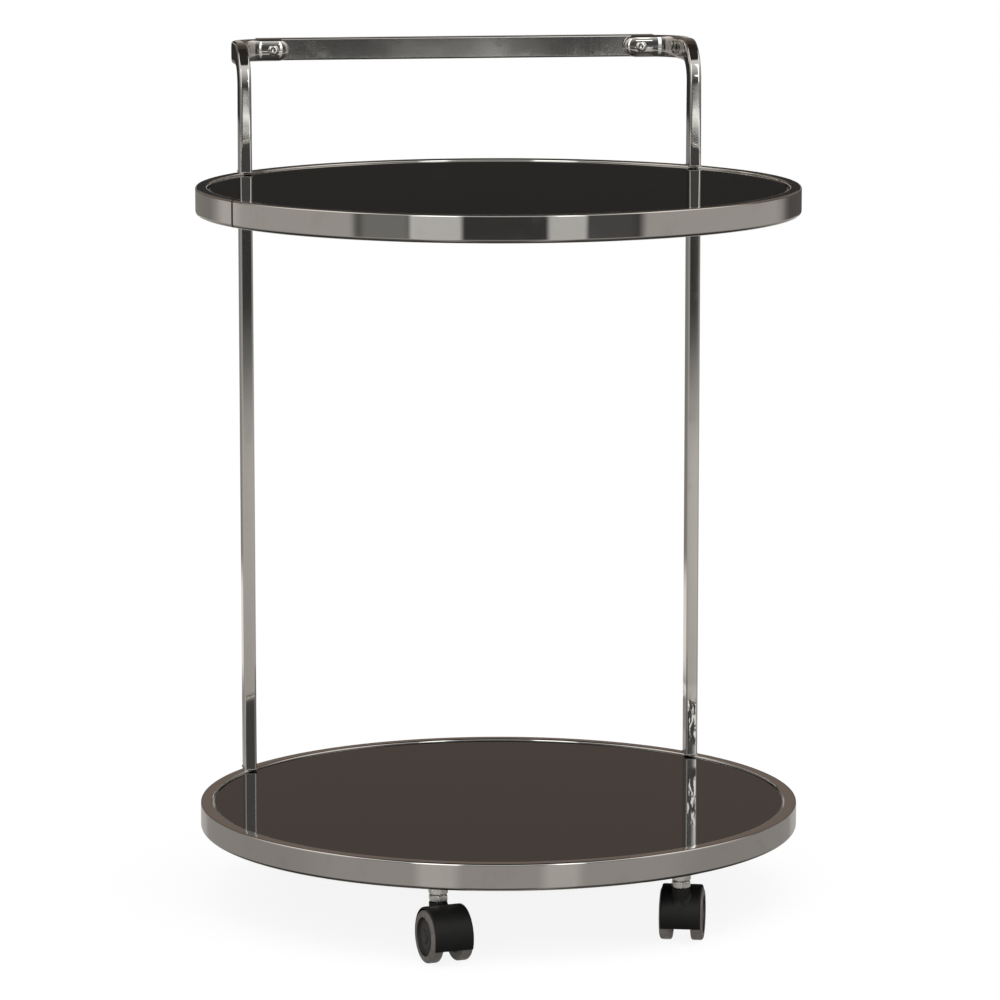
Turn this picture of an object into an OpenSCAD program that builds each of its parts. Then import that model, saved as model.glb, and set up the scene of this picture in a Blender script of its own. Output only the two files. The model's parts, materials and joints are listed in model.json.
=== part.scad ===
// Round two-tier serving trolley: chromed tube rings, dark glass discs, two posts,
// a raised rear handle and four small twin-wheel casters.
// +X is right, -Y is the front, +Z is up. The origin is on the floor under the trays' axis.

/* [Tiers] */
// Outside diameter of both tiers
tray_d = 470; // [380:5:600]
// Radial width of the ring tube
ring_w = 9.5; // [9:0.5:14]
// Height of the ring tube
ring_h = 21; // [15:0.5:28]
// Clear height between the lower and the upper ring
tier_gap = 464; // [320:2:620]
// Wall of every tube
tube_wall = 1.2; // [0.9:0.1:1.5]
// Outside corner radius of every tube
tube_corner = 1.5; // [1.3:0.1:2.5]

/* [Glass] */
// Thickness of each glass disc
glass_t = 5; // [3:0.5:8]
// Depth of the glass below the ring's top edge
glass_drop = 1.5; // [0.5:0.1:3]
// Gap all round between the glass and the ring
glass_gap = 1; // [0.5:0.1:2.5]
// Width of the polished bevel on the glass edge
glass_bevel = 0.8; // [0.3:0.1:1.5]
// Number of support tabs under each disc
tab_count = 6; // [3:1:8]
// Length of a support tab towards the centre
tab_l = 16; // [14:1:24]
// Width of a support tab
tab_w = 20; // [14:1:26]
// Thickness of a support tab
tab_t = 3; // [2:0.5:4]
// Diameter of the clear pad on each tab
pad_d = 11; // [8:1:13]
// Thickness of the clear pad
pad_t = 1; // [0.5:0.5:2]

/* [Posts] */
// Width of the post and arm tube, side to side
post_w = 10; // [9.5:0.5:14]
// Depth of the post and arm tube, front to back
post_d = 18; // [14:0.5:24]
// Angle of each post from the rear centre line
post_angle = 52.3; // [42:0.1:60]
// Length of the threaded plug in each tube end
plug_l = 14; // [10:1:25]

/* [Handle] */
// Height of the handle's top above the upper ring
handle_rise = 101; // [80:1:160]
// Centreline radius of the backward bend in each arm
arm_bend_r = 24; // [17:0.5:30]
// Distance from the post's centre back to the tongue's centre
handle_reach = 70; // [50:1:90]
// Centreline radius of the inward turn in each arm
turn_r = 22; // [11:0.5:30]
// Length of the tongue after the turn
tongue_l = 22; // [20:1:45]
// Distance from the tongue's tip to its screw
screw_inset = 13; // [12:0.5:15]
// Thickness of the cross bar, front to back
bar_t = 10; // [9:0.5:14]
// How far the cross bar runs past the start of each turn
bar_past = 4; // [0:0.5:6]

/* [Casters] */
// Wheel diameter
wheel_d = 40; // [36:1:52]
// Width of one wheel
wheel_w = 9.2; // [8:0.1:14]
// Horizontal distance from the swivel axis to the axle
trail = 12.5; // [11:0.5:16]
// Thickness of the web between the two wheels
web_t = 13.8; // [8:0.1:15]
// Gap between the web and each wheel
wheel_gap = 0.4; // [0.3:0.1:0.8]
// Gap between the tread and the hood
hood_gap = 1; // [0.6:0.1:2]
// Thickness of the hood
hood_t = 1.5; // [1.2:0.1:2.5]
// Clearance from the floor to the hood's lower edge
hood_floor = 12.5; // [5:0.5:14]
// How far each side of the hood stops short of the wheel's outer face
hood_short = 1.2; // [0:0.1:2]
// Diameter of the socket neck on the hood
neck_d = 14; // [12.5:0.5:16]
// Rise of the neck above the hood
neck_rise = 0.7; // [0.5:0.1:4]
// Distance from the ring's inner wall to the swivel axis
stem_inset = 6; // [5.5:0.5:9]
// Angle of each front caster from the front centre line
front_spread = 25.5; // [20:0.5:40]
// Angle of each rear caster from the rear centre line
rear_spread = 45; // [40:0.5:58]
// Turn of all four caster places about the trolley's axis
caster_turn = 4.5; // [0:0.5:6]

/* [Fasteners] */
// Diameter of the studs that join arms, upper ring and posts
joint_stud_d = 6; // [5:0.5:6]
// Length of a stud in each plug
stud_grip = 12; // [8:1:13]
// Diameter of the handle screws
handle_screw_d = 5; // [4:0.5:5.5]
// Head diameter of the handle screws
handle_head_d = 9; // [8:0.5:11]
// Outside diameter of the threaded inserts in the cross bar
insert_d = 7; // [6.5:0.5:8]
// Length of the threaded inserts in the cross bar
insert_l = 7; // [5:0.5:7.5]
// Diameter of the caster's threaded stud
stem_stud_d = 8; // [7:0.5:9]
// Distance across the flats of the collar and the lock nut
hex_flats = 13; // [12.5:0.5:15]
// Height of the hexagonal collar
collar_h = 5.5; // [4:0.5:8]
// Height of the lock nut
nut_h = 6; // [5:0.5:8]
// Diameter of the swivel pin
pin_d = 5.5; // [5:0.1:5.6]
// Diameter of the axle
axle_d = 4; // [3:0.5:5]

/* [Hidden] */
$fn = 96;
eps = 0.01;
thread_gap = 0.05;
running_gap = 0.05;
stud_hole_gap = 0.2;
plug_gap = 0.03;
swivel_gap = 0.3;

// caster heights, from the floor up
wheel_r = wheel_d / 2;
hood_inner_r = wheel_r + hood_gap;
hood_outer_r = hood_inner_r + hood_t;
neck_top = wheel_r + hood_outer_r + neck_rise;
collar_z = neck_top + swivel_gap;
nut_z = collar_z + collar_h;
caster_h = nut_z + nut_h;
caster_w = web_t + 2 * (wheel_gap + wheel_w);
wheel_x = web_t / 2 + wheel_gap;

// tier heights
lower_z = caster_h;
lower_top = lower_z + ring_h;
upper_z = lower_top + tier_gap;
upper_top = upper_z + ring_h;
handle_top = upper_top + handle_rise;

// radii
ring_outer_r = tray_d / 2;
ring_inner_r = ring_outer_r - ring_w;
ring_mid_r = ring_outer_r - ring_w / 2;
glass_r = ring_inner_r - glass_gap;
stem_r = ring_inner_r - stem_inset;
pad_r = ring_inner_r - tab_l / 2;

// depths below a ring's top edge
pad_depth = glass_drop + glass_t;
tab_depth = pad_depth + pad_t;

// posts and handle
post_x = ring_mid_r * sin(post_angle);
post_y = ring_mid_r * cos(post_angle);
arm_z = handle_top - post_d / 2;
arm_rise = arm_z - arm_bend_r - upper_top;
run_y = post_y + arm_bend_r;
run_l = handle_reach - arm_bend_r - turn_r;
tongue_y = post_y + handle_reach;
tongue_x = post_x - turn_r;
tip_x = tongue_x - tongue_l;
screw_x = tip_x + screw_inset;
bar_y = tongue_y + post_w / 2 + bar_t / 2;
bar_half_l = tongue_x + bar_past;
tip_r = post_d / 2;
foot_head_d = 9;
foot_head_h = 2.6;
handle_head_h = 2.4;

// caster details
lug_l = 18;
lug_w = 26;
lug_t = 6;
stem_grip = 7.5;
pin_end = wheel_r + 4;
ring_clip_d = 8.2;
ring_clip_t = 1;
clip_pocket_d = 9;
clip_pocket_h = 1.6;
clip_depth = 1.3;
clip_groove = 0.35;
clip_split = 1.4;
wheel_edge_r = 1.6;
dish_rim = 5.4;
dish_depth = 2.6;
hub_d = 11;
wheel_bore_l = wheel_w - 3;

CASTER_ANGLES = [
    -90 + caster_turn - front_spread, -90 + caster_turn + front_spread,
    90 + caster_turn + rear_spread, 90 + caster_turn - rear_spread
];
CASTER_HEADINGS = [13, 164, 36, -29];
FRONT_LEFT = 0;
FRONT_RIGHT = 1;
REAR_LEFT = 2;
REAR_RIGHT = 3;

CHROME = [0.72, 0.70, 0.68];
ZINC = [0.78, 0.78, 0.76];
GLASS = [0.05, 0.05, 0.055];
PLASTIC = [0.07, 0.07, 0.07];
WHEEL = [0.24, 0.23, 0.22];
SILICONE = [0.80, 0.82, 0.82];

// ---------- shared shapes ----------

// rectangle with round corners, centred
module rounded_rect(w, h, r) {
    square([w - 2 * r, h], center = true);
    square([w, h - 2 * r], center = true);
    for (x = [-1, 1], y = [-1, 1])
        translate([x * (w / 2 - r), y * (h / 2 - r)]) circle(r, $fn = 32);
}

module tube_outline(w, h) rounded_rect(w, h, tube_corner);

module tube_inside(w, h) rounded_rect(
    w - 2 * tube_wall, h - 2 * tube_wall, max(tube_corner - tube_wall, 0.3));

// the two posts' places
module at_posts() for (side = [-1, 1]) translate([side * post_x, post_y, 0]) children();

module on_left() mirror([1, 0, 0]) children();

module at_stem(i)
    translate([stem_r * cos(CASTER_ANGLES[i]), stem_r * sin(CASTER_ANGLES[i]), 0]) children();

// caster frame: the swivel axis is the origin, the axle runs along X behind it at -Y
module at_caster(i) at_stem(i) rotate(CASTER_HEADINGS[i]) children();

module at_axle() translate([0, -trail, wheel_r]) rotate([0, 90, 0]) children();

// ---------- tiers ----------

module ring_tube(z) {
    translate([0, 0, z + ring_h / 2])
        rotate_extrude($fn = 180) translate([ring_mid_r, 0]) difference() {
            tube_outline(ring_w, ring_h);
            tube_inside(ring_w, ring_h);
        }
}

module drilled_ring(z) {
    difference() {
        ring_tube(z);
        at_posts() translate([0, 0, z - eps])
            cylinder(d = joint_stud_d + 2 * stud_hole_gap, h = ring_h + 2 * eps);
    }
}

module glass_disc(top) {
    translate([0, 0, top - glass_drop - glass_t]) rotate_extrude($fn = 180) polygon([
        [0, 0], [glass_r - glass_bevel / 2, 0], [glass_r, glass_bevel / 2],
        [glass_r, glass_t - glass_bevel], [glass_r - glass_bevel, glass_t], [0, glass_t]
    ]);
}

module tabs(top) {
    for (i = [0 : tab_count - 1]) rotate(360 / tab_count * (i + 0.5))
        translate([0, 0, top - tab_depth - tab_t]) intersection() {
            translate([ring_inner_r - tab_l, -tab_w / 2, 0]) cube([tab_l + ring_w, tab_w, tab_t]);
            cylinder(r = ring_inner_r, h = tab_t, $fn = 180);
        }
}

module pads(top) {
    for (i = [0 : tab_count - 1]) rotate(360 / tab_count * (i + 0.5))
        translate([pad_r, 0, top - tab_depth]) cylinder(d = pad_d, h = pad_t, $fn = 48);
}

module upper_ring() { color(CHROME) drilled_ring(upper_z); }
module lower_ring() { color(CHROME) drilled_ring(lower_z); }
module upper_glass() { color(GLASS) glass_disc(upper_top); }
module lower_glass() { color(GLASS) glass_disc(lower_top); }
module upper_glass_tabs() { color(CHROME) tabs(upper_top); }
module lower_glass_tabs() { color(CHROME) tabs(lower_top); }
module upper_glass_pads() { color(SILICONE) pads(upper_top); }
module lower_glass_pads() { color(SILICONE) pads(lower_top); }

// ---------- posts ----------

module post() {
    translate([post_x, post_y, lower_top]) linear_extrude(tier_gap) difference() {
        tube_outline(post_w, post_d);
        tube_inside(post_w, post_d);
    }
}

// threaded block that fills the end of a tube
module end_plug() {
    difference() {
        linear_extrude(plug_l) rounded_rect(post_w - 2 * (tube_wall + plug_gap),
            post_d - 2 * (tube_wall + plug_gap), max(tube_corner - tube_wall, 0.3));
        translate([0, 0, -eps]) cylinder(d = joint_stud_d + 2 * thread_gap, h = plug_l + 2 * eps);
    }
}

module left_post() { color(CHROME) on_left() post(); }
module right_post() { color(CHROME) post(); }

module post_end_plugs() {
    color(ZINC) at_posts() {
        translate([0, 0, lower_top]) end_plug();
        translate([0, 0, upper_z - plug_l]) end_plug();
    }
}

module post_foot_screws() {
    color(ZINC) at_posts() {
        translate([0, 0, lower_z - foot_head_h]) cylinder(d = foot_head_d, h = foot_head_h);
        translate([0, 0, lower_z - eps])
            cylinder(d = joint_stud_d, h = ring_h + stud_grip + eps);
    }
}

module upper_joint_studs() {
    color(ZINC) at_posts() translate([0, 0, upper_z - stud_grip])
        cylinder(d = joint_stud_d, h = ring_h + 2 * stud_grip);
}

// ---------- handle ----------

// the right arm's path with a given cross section, w across and d deep
module arm_sweep() {
    // riser
    translate([post_x, post_y, upper_top]) linear_extrude(arm_rise) children();
    // backward bend
    translate([post_x, run_y, arm_z - arm_bend_r]) rotate([0, 0, 180]) rotate([90, 0, 90])
        rotate_extrude(angle = 90) translate([arm_bend_r, 0]) rotate(90) children();
    // run to the back
    translate([post_x, run_y, arm_z]) rotate([-90, 0, 0]) linear_extrude(run_l) children();
    // inward turn
    translate([tongue_x, run_y + run_l, arm_z])
        rotate_extrude(angle = 90) translate([turn_r, 0]) children();
}

module tongue(inset) {
    reach = tongue_l - inset - (tip_r - inset);
    depth = post_w - 2 * inset;
    height = post_d - 2 * inset;
    translate([tongue_x - reach, tongue_y - depth / 2, arm_z - height / 2])
        cube([reach, depth, height]);
    translate([tongue_x - reach, tongue_y + depth / 2, arm_z]) rotate([90, 0, 0])
        cylinder(d = height, h = depth);
}

module handle_arm() {
    difference() {
        union() {
            arm_sweep() tube_outline(post_w, post_d);
            tongue(0);
        }
        riser_mouth();
        arm_sweep() tube_inside(post_w, post_d);
        tongue(tube_wall);
        handle_bolt_path() cylinder(d = handle_screw_d + 2 * stud_hole_gap, h = post_w + 2 * eps);
    }
}

// opens the riser's lower end, where the end plug goes in
module riser_mouth()
    translate([post_x, post_y, upper_top - eps]) linear_extrude(2 * eps)
        tube_inside(post_w, post_d);

// +Z runs along the handle screw, from the tongue's front face to the back
module handle_bolt_path()
    translate([screw_x, tongue_y - post_w / 2 - eps, arm_z]) rotate([-90, 0, 0]) children();

module left_handle_arm() { color(CHROME) on_left() handle_arm(); }
module right_handle_arm() { color(CHROME) handle_arm(); }

module arm_end_plugs() { color(ZINC) at_posts() translate([0, 0, upper_top]) end_plug(); }

module handle_bar() {
    color(CHROME) difference() {
        translate([-bar_half_l, bar_y, arm_z]) rotate([90, 0, 90])
            linear_extrude(2 * bar_half_l) tube_outline(bar_t, post_d);
        translate([tube_wall - bar_half_l, bar_y, arm_z]) rotate([90, 0, 90])
            linear_extrude(2 * (bar_half_l - tube_wall)) tube_inside(bar_t, post_d);
        for (side = [-1, 1]) translate([side * screw_x, bar_y - bar_t / 2 - eps, arm_z])
            rotate([-90, 0, 0]) cylinder(d = insert_d, h = tube_wall + 2 * eps);
    }
}

module handle_bar_inserts() {
    color(ZINC) for (side = [-1, 1])
        translate([side * screw_x, bar_y - bar_t / 2, arm_z]) rotate([-90, 0, 0]) difference() {
            cylinder(d = insert_d, h = insert_l);
            translate([0, 0, -eps])
                cylinder(d = handle_screw_d + 2 * thread_gap, h = insert_l + 2 * eps);
        }
}

module handle_screws() {
    shank_l = post_w + insert_l - 1;
    dome_r = (handle_head_d * handle_head_d / 4 + handle_head_h * handle_head_h)
        / (2 * handle_head_h);
    color(ZINC) for (side = [-1, 1])
        translate([side * screw_x, tongue_y - post_w / 2, arm_z]) rotate([-90, 0, 0]) {
            intersection() {
                translate([0, 0, dome_r - handle_head_h]) sphere(dome_r, $fn = 64);
                translate([0, 0, -handle_head_h]) cylinder(d = handle_head_d, h = handle_head_h);
            }
            translate([0, 0, -eps]) cylinder(d = handle_screw_d, h = shank_l);
        }
}

// ---------- casters ----------

module caster_lugs() {
    color(CHROME) for (i = [0 : 3]) rotate(CASTER_ANGLES[i])
        translate([0, 0, lower_z]) difference() {
            intersection() {
                translate([ring_inner_r - lug_l, -lug_w / 2, 0]) cube([lug_l + ring_w, lug_w, lug_t]);
                cylinder(r = ring_inner_r, h = lug_t, $fn = 180);
            }
            translate([stem_r, 0, -eps])
                cylinder(d = stem_stud_d + 2 * thread_gap, h = lug_t + 2 * eps);
        }
}

module hexagon(h) cylinder(d = hex_flats / cos(30), h = h, $fn = 6);

module caster_lock_nuts() {
    color(ZINC) for (i = [0 : 3]) at_stem(i) translate([0, 0, nut_z]) rotate(11) difference() {
        hexagon(nut_h);
        translate([0, 0, -eps]) cylinder(d = stem_stud_d + 2 * thread_gap, h = nut_h + 2 * eps);
    }
}

// threaded stud, hexagonal collar and grooved swivel pin in one piece
module caster_stem(i) {
    color(ZINC) at_stem(i) difference() {
        union() {
            translate([0, 0, nut_z - eps]) cylinder(d = stem_stud_d, h = nut_h + stem_grip + eps);
            translate([0, 0, collar_z]) hexagon(collar_h);
            translate([0, 0, pin_end]) cylinder(d = pin_d, h = collar_z - pin_end + eps);
        }
        translate([0, 0, neck_top - clip_depth - ring_clip_t]) difference() {
            cylinder(d = pin_d + 2, h = ring_clip_t);
            translate([0, 0, -eps]) cylinder(d = pin_d - 2 * clip_groove, h = ring_clip_t + 2 * eps);
        }
    }
}

module stem_grip_rings() {
    color(ZINC) for (i = [0 : 3]) at_stem(i)
        translate([0, 0, neck_top - clip_depth - ring_clip_t]) difference() {
            cylinder(d = ring_clip_d, h = ring_clip_t);
            translate([0, 0, -eps])
                cylinder(d = pin_d - 2 * clip_groove + 0.1, h = ring_clip_t + 2 * eps);
            translate([0, -clip_split / 2, -eps]) cube([ring_clip_d, clip_split, ring_clip_t + 2 * eps]);
        }
}

// arch over both treads, web between the wheels and the neck around the swivel pin
module caster_housing(i) {
    clip_z = neck_top - clip_depth - ring_clip_t - (clip_pocket_h - ring_clip_t) / 2;
    color(PLASTIC) at_caster(i) difference() {
        union() {
            intersection() {
                difference() {
                    at_axle() cylinder(r = hood_outer_r, h = caster_w - 2 * hood_short, center = true);
                    for (side = [-1, 1]) wheel_room(side);
                }
                translate([-caster_w, -trail - wheel_d, hood_floor])
                    cube([2 * caster_w, 2 * wheel_d, 2 * wheel_d]);
            }
            difference() {
                translate([0, 0, wheel_r + 2]) cylinder(d = neck_d, h = neck_top - wheel_r - 2);
                for (side = [-1, 1]) wheel_room(side);
            }
        }
        translate([0, 0, pin_end - swivel_gap])
            cylinder(d = pin_d + 2 * running_gap, h = neck_top - pin_end + 2 * swivel_gap);
        translate([0, 0, clip_z]) cylinder(d = clip_pocket_d, h = clip_pocket_h);
        at_axle() cylinder(d = axle_d, h = web_t + 2, center = true);
    }
}

// the space that one wheel turns in
module wheel_room(side)
    translate([side > 0 ? web_t / 2 : -web_t / 2 - caster_w, -trail, wheel_r])
        rotate([0, 90, 0]) cylinder(r = hood_inner_r, h = caster_w);

module caster_axle(i) {
    color(ZINC) at_caster(i) at_axle()
        cylinder(d = axle_d, h = 2 * (wheel_x + wheel_bore_l - 0.5), center = true);
}

// the dished face points outwards; side is +1 or -1 along the axle
module caster_wheel(i, side) {
    dish_r = wheel_r - dish_rim;
    bore_r = axle_d / 2 + running_gap;
    e = wheel_edge_r;
    color(WHEEL) at_caster(i) translate([0, -trail, wheel_r]) rotate([0, side * 90, 0])
        translate([0, 0, wheel_x]) rotate_extrude() difference() {
            union() {
                square([wheel_r - e, wheel_w]);
                translate([0, e]) square([wheel_r, wheel_w - 2 * e]);
                for (y = [e, wheel_w - e]) translate([wheel_r - e, y]) circle(e, $fn = 32);
            }
            translate([-wheel_r, -eps]) square([wheel_r, wheel_w + 1]);
            translate([-eps, -eps]) square([bore_r + eps, wheel_bore_l]);
            polygon([
                [hub_d / 2, wheel_w + eps], [hub_d / 2 + 1, wheel_w - dish_depth],
                [dish_r - 1.4, wheel_w - dish_depth], [dish_r, wheel_w + eps]
            ]);
            translate([-eps, wheel_w - dish_depth / 2]) square([hub_d / 2 + 0.6, wheel_w]);
        }
}

module front_left_stem() caster_stem(FRONT_LEFT);
module front_right_stem() caster_stem(FRONT_RIGHT);
module rear_left_stem() caster_stem(REAR_LEFT);
module rear_right_stem() caster_stem(REAR_RIGHT);
module front_left_housing() caster_housing(FRONT_LEFT);
module front_right_housing() caster_housing(FRONT_RIGHT);
module rear_left_housing() caster_housing(REAR_LEFT);
module rear_right_housing() caster_housing(REAR_RIGHT);
module front_left_axle() caster_axle(FRONT_LEFT);
module front_right_axle() caster_axle(FRONT_RIGHT);
module rear_left_axle() caster_axle(REAR_LEFT);
module rear_right_axle() caster_axle(REAR_RIGHT);
module front_left_wheel_a() caster_wheel(FRONT_LEFT, -1);
module front_left_wheel_b() caster_wheel(FRONT_LEFT, 1);
module front_right_wheel_a() caster_wheel(FRONT_RIGHT, -1);
module front_right_wheel_b() caster_wheel(FRONT_RIGHT, 1);
module rear_left_wheel_a() caster_wheel(REAR_LEFT, -1);
module rear_left_wheel_b() caster_wheel(REAR_LEFT, 1);
module rear_right_wheel_a() caster_wheel(REAR_RIGHT, -1);
module rear_right_wheel_b() caster_wheel(REAR_RIGHT, 1);

upper_ring();
lower_ring();
upper_glass();
lower_glass();
upper_glass_tabs();
lower_glass_tabs();
upper_glass_pads();
lower_glass_pads();
left_post();
right_post();
post_end_plugs();
post_foot_screws();
upper_joint_studs();
left_handle_arm();
right_handle_arm();
arm_end_plugs();
handle_bar();
handle_bar_inserts();
handle_screws();
caster_lugs();
caster_lock_nuts();
stem_grip_rings();
front_left_stem();
front_right_stem();
rear_left_stem();
rear_right_stem();
front_left_housing();
front_right_housing();
rear_left_housing();
rear_right_housing();
front_left_axle();
front_right_axle();
rear_left_axle();
rear_right_axle();
front_left_wheel_a();
front_left_wheel_b();
front_right_wheel_a();
front_right_wheel_b();
rear_left_wheel_a();
rear_left_wheel_b();
rear_right_wheel_a();
rear_right_wheel_b();
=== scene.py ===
"""Round two-tier trolley: smoky chrome tube, dark glass, raised handle and twin-wheel casters."""
import json
import math

import bpy
from mathutils import Matrix, Vector


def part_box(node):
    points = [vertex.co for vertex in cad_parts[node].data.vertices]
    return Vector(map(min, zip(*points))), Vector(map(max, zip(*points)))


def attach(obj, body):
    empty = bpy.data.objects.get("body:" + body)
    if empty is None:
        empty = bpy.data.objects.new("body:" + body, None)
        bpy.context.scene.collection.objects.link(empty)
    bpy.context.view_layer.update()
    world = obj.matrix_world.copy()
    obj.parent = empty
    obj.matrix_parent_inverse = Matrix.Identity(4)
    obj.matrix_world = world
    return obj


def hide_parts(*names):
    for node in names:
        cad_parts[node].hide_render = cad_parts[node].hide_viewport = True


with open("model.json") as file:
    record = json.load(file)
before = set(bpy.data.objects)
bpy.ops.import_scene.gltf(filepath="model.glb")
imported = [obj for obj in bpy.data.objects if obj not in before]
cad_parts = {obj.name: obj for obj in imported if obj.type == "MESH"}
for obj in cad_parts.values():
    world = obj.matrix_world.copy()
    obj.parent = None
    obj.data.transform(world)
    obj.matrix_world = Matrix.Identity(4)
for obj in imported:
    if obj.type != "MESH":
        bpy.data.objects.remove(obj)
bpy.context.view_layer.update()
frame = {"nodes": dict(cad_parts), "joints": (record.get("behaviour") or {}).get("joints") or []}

MM = 0.001
TURN = math.radians(9.1)   # how far the trolley stands turned from the camera's line

# ---------------------------------------------------------------- shader helpers


class Value:
    """One number or colour inside a node tree; arithmetic on it adds Math nodes."""

    def __init__(self, paint, socket):
        self.paint, self.socket = paint, socket

    def _math(self, operation, *others):
        return self.paint.node("ShaderNodeMath", {"operation": operation},
                               dict(enumerate(others)))

    def __add__(self, other):
        return self._math("ADD", self, other)

    def __radd__(self, other):
        return self._math("ADD", other, self)

    def __sub__(self, other):
        return self._math("SUBTRACT", self, other)

    def __rsub__(self, other):
        return self._math("SUBTRACT", other, self)

    def __mul__(self, other):
        return self._math("MULTIPLY", self, other)

    def __rmul__(self, other):
        return self._math("MULTIPLY", other, self)

    def __truediv__(self, other):
        return self._math("DIVIDE", self, other)

    def __abs__(self):
        return self._math("ABSOLUTE", self)

    def root(self):
        return self._math("SQRT", self)

    def arcsine(self):
        return self._math("ARCSINE", self)

    def step(self, start, end):
        """0 before start, 1 after end, smooth between."""
        return self.paint.node(
            "ShaderNodeMapRange", {"interpolation_type": "SMOOTHSTEP"},
            {"Value": self, "From Min": start, "From Max": end, "To Min": 0.0, "To Max": 1.0})

    def band(self, low, high, soft):
        """1 between low and high, 0 outside, with soft edges."""
        return self.step(low - soft, low + soft) * (1 - self.step(high - soft, high + soft))


class Paint:
    """Writes nodes into one material's or world's tree."""

    def __init__(self, tree):
        self.tree = tree

    def node(self, kind, settings=None, sockets=None, out=0):
        """Adds a node: settings first, then its sockets; returns one of its outputs."""
        made = self.tree.nodes.new(kind)
        for key, value in (settings or {}).items():
            if key == "stops":
                ramp = made.color_ramp.elements
                while len(ramp) < len(value):
                    ramp.new(0.5)
                for element, (place, colour) in zip(ramp, value):
                    element.position, element.color = place, (*colour, 1.0)
            else:
                setattr(made, key, value)
        for key, value in (sockets or {}).items():
            self.fill(made.inputs[key], value)
        return Value(self, made.outputs[out])

    def fill(self, socket, value):
        if isinstance(value, Value):
            self.tree.links.new(value.socket, socket)
        elif isinstance(value, (tuple, list)) and len(value) == 3 and socket.type == "RGBA":
            socket.default_value = (*value, 1.0)
        else:
            socket.default_value = value

    def mix(self, factor, a, b):
        """A colour between a and b."""
        return self.node("ShaderNodeMix", {"data_type": "RGBA"}, {0: factor, 6: a, 7: b}, out=2)

    def split(self, vector):
        parts = self.node("ShaderNodeSeparateXYZ", None, {0: vector})
        return [Value(self, s) for s in parts.socket.node.outputs]

    def join(self, x, y, z):
        return self.node("ShaderNodeCombineXYZ", None, {0: x, 1: y, 2: z})

    def place(self):
        return self.node("ShaderNodeTexCoord", out="Object")

    def noise(self, vector, scale, detail=3.0, rough=0.55):
        return self.node("ShaderNodeTexNoise", {"noise_dimensions": "3D"},
                         {"Vector": vector, "Scale": scale, "Detail": detail, "Roughness": rough})

    def around(self, vector):
        """Angle about the vertical axis in radians, distance from it, and height."""
        x, y, z = self.split(vector)
        return x._math("ARCTAN2", y, x), (x * x + y * y).root(), z

    def bump(self, height, distance, strength=1.0, normal=None):
        sockets = {"Height": height, "Distance": distance, "Strength": strength}
        if normal is not None:
            sockets["Normal"] = normal
        return self.node("ShaderNodeBump", None, sockets)


def finish_of(name, build):
    """A material whose Principled inputs are what build(paint) returns."""
    material = bpy.data.materials.new(name)
    material.use_nodes = True
    paint = Paint(material.node_tree)
    shader = material.node_tree.nodes["Principled BSDF"]
    for key, value in build(paint).items():
        paint.fill(shader.inputs[key], value)
    return material


# ---------------------------------------------------------------- finishes

CHROME_TINT = (0.67, 0.655, 0.63)
CHROME_DEEP = (0.60, 0.58, 0.55)
LINE_DEPTH = 0.000003


def chrome(paint, line_vector, wave_vector, wave_height, lines=0.55):
    """Polished smoky chrome: fine linishing lines, faint waves in the plate, soft handling marks."""
    fine = paint.noise(line_vector, 1.0, 2.0)
    waves = paint.noise(wave_vector, 1.0, 1.5)
    marks = paint.noise(paint.place(), 38.0, 5.0, 0.6)
    smear = marks.step(0.52, 0.70)
    lined = paint.bump(fine, LINE_DEPTH, lines)
    return {
        "Base Color": paint.mix(smear * 0.5 + fine * 0.3, CHROME_TINT, CHROME_DEEP),
        "Metallic": 1.0,
        "Roughness": 0.022 + fine * 0.03 + smear * 0.03,
        "Normal": paint.bump(waves, wave_height, 1.0, lined),
    }


def ring_chrome(paint):
    angle, radius, z = paint.around(paint.place())
    lines = paint.join(angle * 520.0, radius * 300.0, z * 26.0)
    waves = paint.join(angle * 9.0, radius * 60.0, z * 14.0)
    return chrome(paint, lines, waves, 0.00005)


def post_chrome(paint):
    """Drawn tube: lines run along the height, and the plate is wavier near the foot."""
    x, y, z = paint.split(paint.place())
    lines = paint.join(x * 1500.0, y * 1500.0, z * 9.0)
    waves = paint.join(x * 40.0, y * 40.0, z * 11.0)
    foot = z.band(0.090, 0.128, 0.008) * x.step(0.0, 0.05)
    made = chrome(paint, lines, waves, 0.00006, 0.4)
    ripple = paint.noise(paint.join(x * 130.0, y * 130.0, z * 52.0), 1.0, 2.5)
    made["Normal"] = paint.bump(ripple * foot, 0.00035, 1.0, made["Normal"])
    return made


def handle_chrome(paint):
    x, y, z = paint.split(paint.place())
    lines = paint.join(x * 900.0, y * 90.0, z * 40.0)
    waves = paint.join(x * 30.0, y * 60.0, z * 40.0)
    return chrome(paint, lines, waves, 0.000014, 0.5)


def zinc(paint):
    """Bright zinc plate on turned steel, with a dull bloom."""
    bloom = paint.noise(paint.place(), 210.0, 5.0, 0.65)
    grain = paint.noise(paint.place(), 2600.0, 2.0)
    return {
        "Base Color": paint.mix(bloom.step(0.35, 0.75), (0.78, 0.77, 0.74), (0.58, 0.575, 0.56)),
        "Metallic": 1.0,
        "Roughness": 0.20 + bloom * 0.16,
        "Normal": paint.bump(grain, 0.00002, 0.6),
    }


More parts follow.
